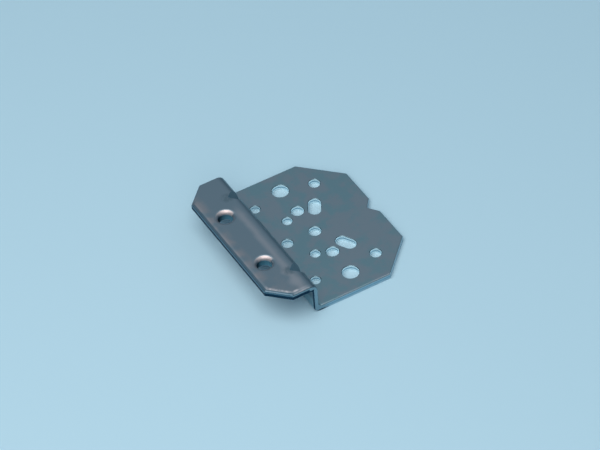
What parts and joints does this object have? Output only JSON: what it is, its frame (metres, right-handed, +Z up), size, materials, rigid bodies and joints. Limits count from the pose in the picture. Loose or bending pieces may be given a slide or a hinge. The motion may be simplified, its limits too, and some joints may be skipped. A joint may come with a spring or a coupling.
{
  "type": "offset mounting bracket",
  "caption": "Flat steel bracket with a raised flange along one side, punched with screw holes and slots, for fixing one part a small step above another.",
  "frame": {"origin": "axis of the plate's centre hole, on the plate's underside", "axes": "+Z up out of the plate, towards the side the flange is raised to; +X from the raised flange to the notched edge; +Y along the bends"},
  "size_m": [0.0632, 0.07, 0.0138],
  "materials": {
    "zinc_steel": "satin zinc-plated mild steel"
  },
  "bodies": {
    "root": {"offset_bracket": "zinc_steel"}
  },
  "joints": []
}
